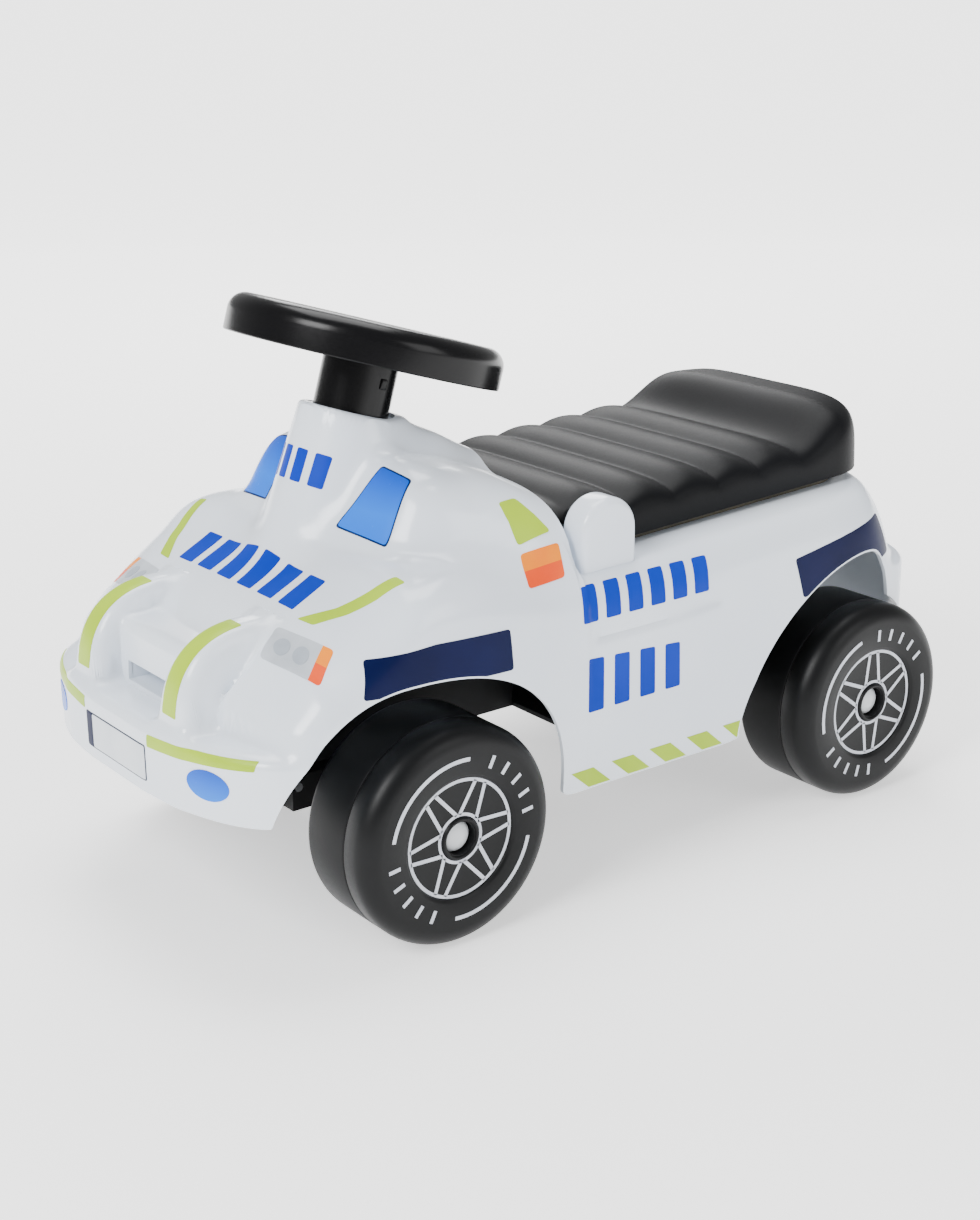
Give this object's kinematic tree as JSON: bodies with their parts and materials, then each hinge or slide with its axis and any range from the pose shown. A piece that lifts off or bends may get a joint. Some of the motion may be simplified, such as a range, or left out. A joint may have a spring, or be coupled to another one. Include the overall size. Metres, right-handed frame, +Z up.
{
  "type": "toddler ride-on car",
  "caption": "Foot-to-floor ride-on toy car with a patrol livery: steered front axle, rolling hollow wheels and a lifting seat over a storage tub.",
  "frame": {"origin": "floor point under the middle of the overall box", "axes": "+Z up, the car faces -Y, +X is its left side"},
  "size_m": [0.319, 0.616, 0.3939],
  "materials": {
    "body_white": "gloss white moulded plastic",
    "bearing_plastic": "natural bearing plastic",
    "pan_black": "satin black moulded plastic",
    "tub_olive": "dark olive grey moulded plastic",
    "seat_black": "satin black moulded plastic",
    "steering_black": "satin black moulded plastic",
    "wheel_black": "satin black moulded plastic",
    "cap_grey": "off-white cap",
    "steel": "zinc-plated steel"
  },
  "bodies": {
    "body": {"body_shell": "body_white", "chassis_pan": "pan_black", "storage_tub": "tub_olive", "column_collar": "body_white", "column_bush": "bearing_plastic", "rear_axle": "steel", "rear_axle_block_left": "pan_black", "rear_axle_block_right": "pan_black", "rear_axle_washers": "steel", "rear_push_nuts": "steel", "seat_hinge_pin_left": "steel", "seat_hinge_pin_right": "steel", "pan_screws": "steel", "block_screws": "steel"},
    "seat": {"seat": "seat_black", "seat_hinge_lug_left": "seat_black", "seat_hinge_lug_right": "seat_black"},
    "steering": {"steering_wheel": "steering_black", "steering_wheel_screw": "steel", "steering_wheel_cap": "steering_black", "steering_column": "steering_black", "front_carrier": "pan_black", "column_pin": "steel", "front_axle": "steel", "front_axle_washers": "steel", "front_push_nuts": "steel"},
    "front_left_wheel": {"front_left_wheel_outer": "wheel_black", "front_left_wheel_inner": "wheel_black", "front_left_hub_cap": "cap_grey"},
    "front_right_wheel": {"front_right_wheel_outer": "wheel_black", "front_right_wheel_inner": "wheel_black", "front_right_hub_cap": "cap_grey"},
    "rear_left_wheel": {"rear_left_wheel_outer": "wheel_black", "rear_left_wheel_inner": "wheel_black", "rear_left_hub_cap": "cap_grey"},
    "rear_right_wheel": {"rear_right_wheel_outer": "wheel_black", "rear_right_wheel_inner": "wheel_black", "rear_right_hub_cap": "cap_grey"}
  },
  "joints": [
    {"name": "steering_turn", "type": "hinge", "parent": "body", "child": "steering", "pos_m": [0, -0.197, 0.07325], "axis": [0, 0.2924, 0.9563], "range_deg": [-14, 14]},
    {"name": "seat_lift", "type": "hinge", "parent": "body", "child": "seat", "pos_m": [0, -0.0115, 0.239], "axis": [1, 0, 0], "range_deg": [0, 75]},
    {"name": "front_left_wheel_roll", "type": "hinge", "parent": "steering", "child": "front_left_wheel", "pos_m": [0.1255, -0.1545, 0.07325], "axis": [1, 0, 0], "continuous": true},
    {"name": "front_right_wheel_roll", "type": "hinge", "parent": "steering", "child": "front_right_wheel", "pos_m": [-0.1255, -0.1545, 0.07325], "axis": [1, 0, 0], "continuous": true},
    {"name": "rear_left_wheel_roll", "type": "hinge", "parent": "body", "child": "rear_left_wheel", "pos_m": [0.1255, 0.2205, 0.07325], "axis": [1, 0, 0], "continuous": true},
    {"name": "rear_right_wheel_roll", "type": "hinge", "parent": "body", "child": "rear_right_wheel", "pos_m": [-0.1255, 0.2205, 0.07325], "axis": [1, 0, 0], "continuous": true}
  ]
}
